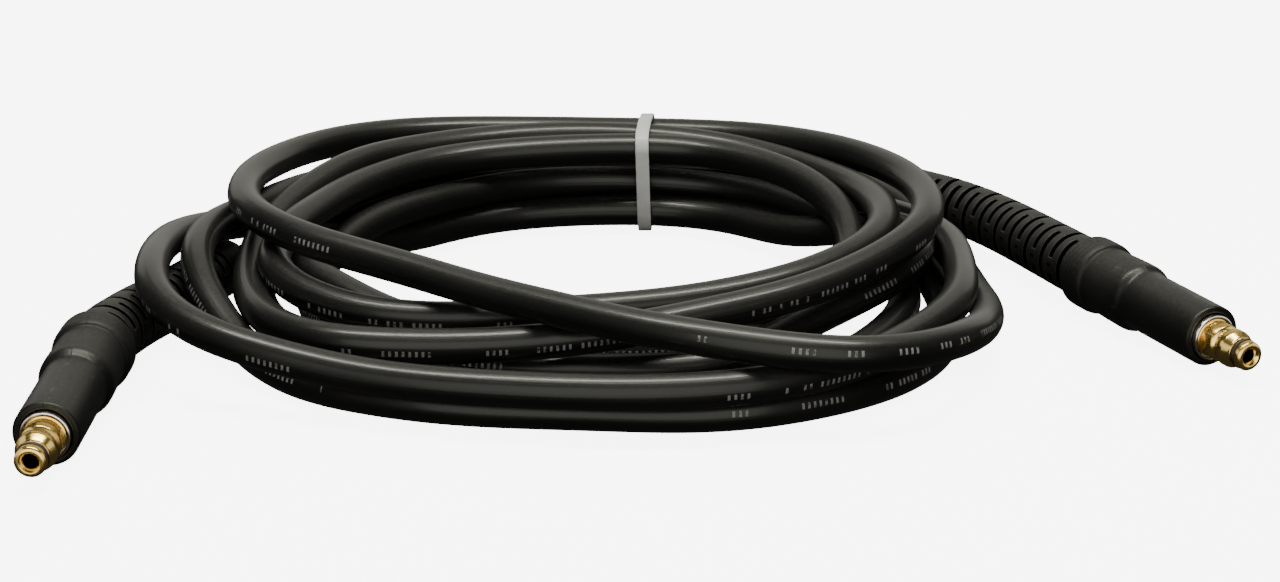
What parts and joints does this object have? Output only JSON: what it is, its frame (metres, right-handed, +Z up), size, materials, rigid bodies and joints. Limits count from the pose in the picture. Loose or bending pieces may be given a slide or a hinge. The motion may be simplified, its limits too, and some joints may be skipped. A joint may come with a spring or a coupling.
{
  "type": "pressure washer hose",
  "caption": "Coiled high-pressure hose with moulded kink guards, crimp ferrules and push-in brass nipples at both ends, held by a cable tie.",
  "frame": {"origin": "centre of the bounding box at floor level", "axes": "+X to the viewer's right along the longest extent, +Y away from the viewer towards the tied side of the coil, +Z up"},
  "size_m": [0.372, 0.312, 0.0425],
  "materials": {
    "hose_black": "satin extruded cover",
    "guard_rubber": "matt moulded",
    "ferrule_nickel": "bright nickel plate",
    "nipple_brass": "turned and polished",
    "seal_rubber": "smooth moulded",
    "tie_nylon": "natural nylon"
  },
  "bodies": {
    "root": {"hose": "hose_black", "kink_guard_left": "guard_rubber", "kink_guard_right": "guard_rubber", "ferrule_left": "ferrule_nickel", "ferrule_right": "ferrule_nickel", "nipple_left": "nipple_brass", "nipple_right": "nipple_brass", "seal_ring_left": "seal_rubber", "seal_ring_right": "seal_rubber", "cable_tie": "tie_nylon"}
  },
  "joints": []
}
